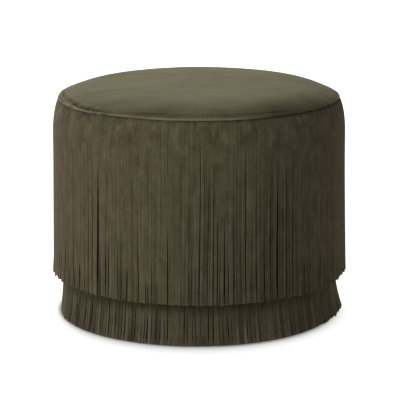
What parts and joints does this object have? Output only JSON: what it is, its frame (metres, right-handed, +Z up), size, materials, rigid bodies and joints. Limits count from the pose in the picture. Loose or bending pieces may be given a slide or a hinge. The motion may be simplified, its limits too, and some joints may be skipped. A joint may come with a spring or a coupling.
{
  "type": "round ottoman",
  "caption": "Round upholstered ottoman with a crowned suede top, a rolled edge seam and tiers of cut suede fringe hanging down its side to the floor.",
  "frame": {"origin": "centre of the footprint, on the floor that the glides rest on", "axes": "+Z up along the round body's axis, -Y towards the pictured front, +X to the right in the picture"},
  "size_m": [0.6, 0.6, 0.472],
  "materials": {
    "suede": "napped suede, matte",
    "lining_cloth": "plain weave, matte",
    "polyester_wadding": "lofted fibre",
    "seat_foam": "open-cell foam",
    "welt_cord": "twisted paper cord",
    "plywood": "bare",
    "softwood": "planed, bare",
    "fibre_strip": "pressed fibre board",
    "dust_cloth": "spun-bonded cloth",
    "steel": "zinc plated",
    "nylon": "moulded, matte"
  },
  "bodies": {
    "root": {"top_cover": "suede", "edge_welt": "suede", "upper_fringe_1": "suede", "upper_fringe_2": "suede", "upper_fringe_3": "suede", "lower_fringe_1": "suede", "lower_fringe_2": "suede", "lower_fringe_3": "suede", "side_lining": "lining_cloth", "seat_wadding": "polyester_wadding", "seat_foam": "seat_foam", "side_padding": "seat_foam", "welt_cord": "welt_cord", "base_panel": "plywood", "seat_deck": "plywood", "wall_panel": "plywood", "frame_post_1": "softwood", "frame_post_2": "softwood", "frame_post_3": "softwood", "frame_post_4": "softwood", "frame_post_5": "softwood", "frame_post_6": "softwood", "tack_strip": "fibre_strip", "dust_cover": "dust_cloth", "deck_screws": "steel", "base_screws": "steel", "glide_screws": "steel", "wall_staples": "steel", "tack_strip_staples": "steel", "dust_cover_staples": "steel", "glide_1": "nylon", "glide_2": "nylon", "glide_3": "nylon", "glide_4": "nylon", "glide_5": "nylon", "glide_6": "nylon"}
  },
  "joints": []
}
